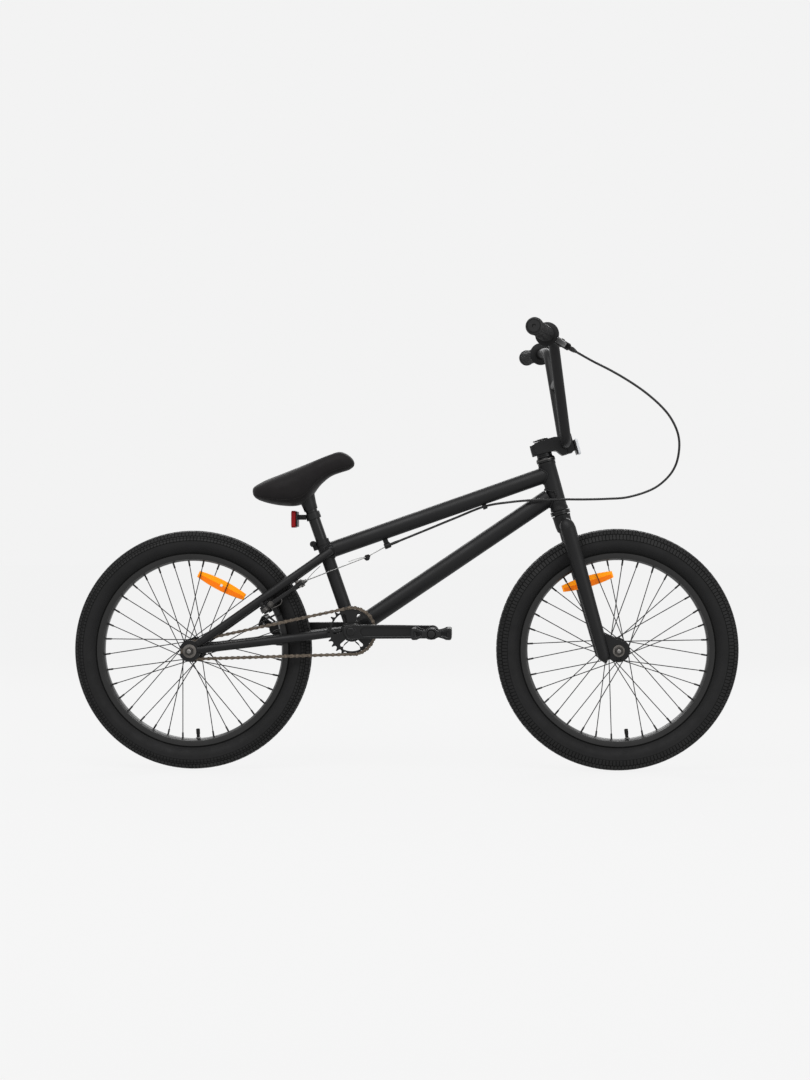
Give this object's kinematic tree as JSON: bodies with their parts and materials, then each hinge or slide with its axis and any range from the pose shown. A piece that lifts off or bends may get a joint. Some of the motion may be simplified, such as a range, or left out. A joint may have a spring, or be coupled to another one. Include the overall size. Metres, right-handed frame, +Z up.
{
  "type": "bmx bike",
  "caption": "Matte black BMX bike with turning steering, spinning wheels, cranks and pedals, single-speed chain drive, and a lever-worked rear rim brake.",
  "frame": {"origin": "on the ground, in the middle plane, under the middle of the bike's length", "axes": "+X is the riding direction, +Y is the rider's left, +Z is up; the drive side faces -Y"},
  "size_m": [1.4424, 0.7448, 0.9469],
  "materials": {
    "frame_paint": "matte",
    "black_metal": "satin",
    "aluminium_black": "satin",
    "grey_steel": "satin",
    "bright_steel": "satin",
    "chain_steel": "satin",
    "tyre_rubber": "matte",
    "tube_rubber": "matte",
    "grip_rubber": "matte",
    "pad_rubber": "matte",
    "black_plastic": "matte",
    "saddle_fabric": "matte",
    "orange_lens": "gloss",
    "red_lens": "gloss",
    "clear_lens": "gloss"
  },
  "bodies": {
    "frame": {"frame": "frame_paint", "headset_upper_bearing": "black_metal", "headset_lower_bearing": "black_metal", "bottom_bracket_bearing_right": "grey_steel", "bottom_bracket_bearing_left": "grey_steel", "rear_axle": "grey_steel", "rear_axle_nut_right": "grey_steel", "rear_axle_nut_left": "grey_steel", "chain": "chain_steel", "brake_housing": "black_plastic", "brake_wire": "bright_steel", "seat_clamp_bolt": "grey_steel"},
    "seat": {"seat_post": "frame_paint", "saddle_base": "black_plastic", "saddle_cover": "saddle_fabric", "rear_reflector_bracket": "black_plastic", "rear_reflector": "red_lens"},
    "steering": {"fork": "frame_paint", "headset_cover": "black_metal", "stem": "aluminium_black", "stem_faceplate": "aluminium_black", "stem_cap": "aluminium_black", "handlebar": "frame_paint", "grip_right": "grip_rubber", "grip_left": "grip_rubber", "bar_end_right": "black_plastic", "bar_end_left": "black_plastic", "brake_lever_bracket": "aluminium_black", "front_reflector_bracket": "black_plastic", "front_reflector": "clear_lens", "front_axle": "grey_steel", "front_axle_nut_right": "grey_steel", "front_axle_nut_left": "grey_steel"},
    "front_wheel": {"front_tyre": "tyre_rubber", "front_inner_tube": "tube_rubber", "front_rim": "aluminium_black", "front_hub": "aluminium_black", "front_spokes": "black_metal", "front_wheel_reflector": "orange_lens"},
    "rear_wheel": {"rear_tyre": "tyre_rubber", "rear_inner_tube": "tube_rubber", "rear_rim": "aluminium_black", "rear_hub": "aluminium_black", "rear_spokes": "black_metal", "rear_wheel_reflector": "orange_lens"},
    "cranks": {"crank_spindle": "grey_steel", "crank_arm_right": "black_metal", "crank_arm_left": "black_metal", "sprocket": "black_metal", "pedal_axle_right": "grey_steel", "pedal_axle_left": "grey_steel"},
    "freewheel": {"rear_cog": "grey_steel"},
    "right_pedal": {"pedal_right": "black_plastic"},
    "left_pedal": {"pedal_left": "black_plastic"},
    "lever": {"brake_lever": "aluminium_black"},
    "right_brake_arm": {"brake_arm_right": "aluminium_black", "brake_pad_right": "pad_rubber"},
    "left_brake_arm": {"brake_arm_left": "aluminium_black", "brake_pad_left": "pad_rubber"}
  },
  "joints": [
    {"name": "steering_turn", "type": "hinge", "parent": "frame", "child": "steering", "pos_m": [0.3208, 0, 0.6152], "axis": [-0.2672, 0, 0.9636], "range_deg": [-90, 90], "deforming": ["brake_housing"]},
    {"name": "front_wheel_spin", "type": "hinge", "parent": "steering", "child": "front_wheel", "pos_m": [0.459, 0, 0.262], "axis": [0, 1, 0], "continuous": true},
    {"name": "rear_wheel_spin", "type": "hinge", "parent": "frame", "child": "rear_wheel", "pos_m": [-0.4614, 0, 0.26], "axis": [0, 1, 0], "continuous": true},
    {"name": "crank_spin", "type": "hinge", "parent": "frame", "child": "cranks", "pos_m": [-0.1134, 0, 0.303], "axis": [0, 1, 0], "continuous": true, "deforming": ["chain"]},
    {"name": "freewheel_spin", "type": "hinge", "parent": "frame", "child": "freewheel", "pos_m": [-0.4614, 0, 0.26], "axis": [0, 1, 0], "continuous": true},
    {"name": "right_pedal_spin", "type": "hinge", "parent": "cranks", "child": "right_pedal", "pos_m": [0.0616, 0, 0.303], "axis": [0, 1, 0], "continuous": true},
    {"name": "left_pedal_spin", "type": "hinge", "parent": "cranks", "child": "left_pedal", "pos_m": [-0.2884, 0, 0.303], "axis": [0, 1, 0], "continuous": true},
    {"name": "brake_lever_pull", "type": "hinge", "parent": "steering", "child": "lever", "pos_m": [0.33048, -0.21281, 0.90578], "axis": [-0.5128, 0.0926, -0.8535], "range_deg": [0, 10], "stiffness_Nm_per_rad": 1, "springref_deg": -8.59, "deforming": ["brake_wire"]},
    {"name": "right_brake_arm_swing", "type": "hinge", "parent": "frame", "child": "right_brake_arm", "pos_m": [-0.30104, -0.04655, 0.35134], "axis": [0.5769, 0, -0.8169], "range_deg": [-5.5, 0]},
    {"name": "left_brake_arm_swing", "type": "hinge", "parent": "frame", "child": "left_brake_arm", "pos_m": [-0.30104, 0.04655, 0.35134], "axis": [0.5769, 0, -0.8169], "range_deg": [0, 5.5]},
    {"name": "seat_height", "type": "slide", "parent": "frame", "child": "seat", "axis": [-0.3289, 0, 0.9444], "range_m": [-0.03, 0.05]}
  ],
  "couplings": [
    {"joint": "freewheel_spin", "follows": "crank_spin", "ratio": 2.7778},
    {"joint": "right_brake_arm_swing", "follows": "brake_lever_pull", "ratio": -0.54},
    {"joint": "left_brake_arm_swing", "follows": "brake_lever_pull", "ratio": 0.54}
  ]
}
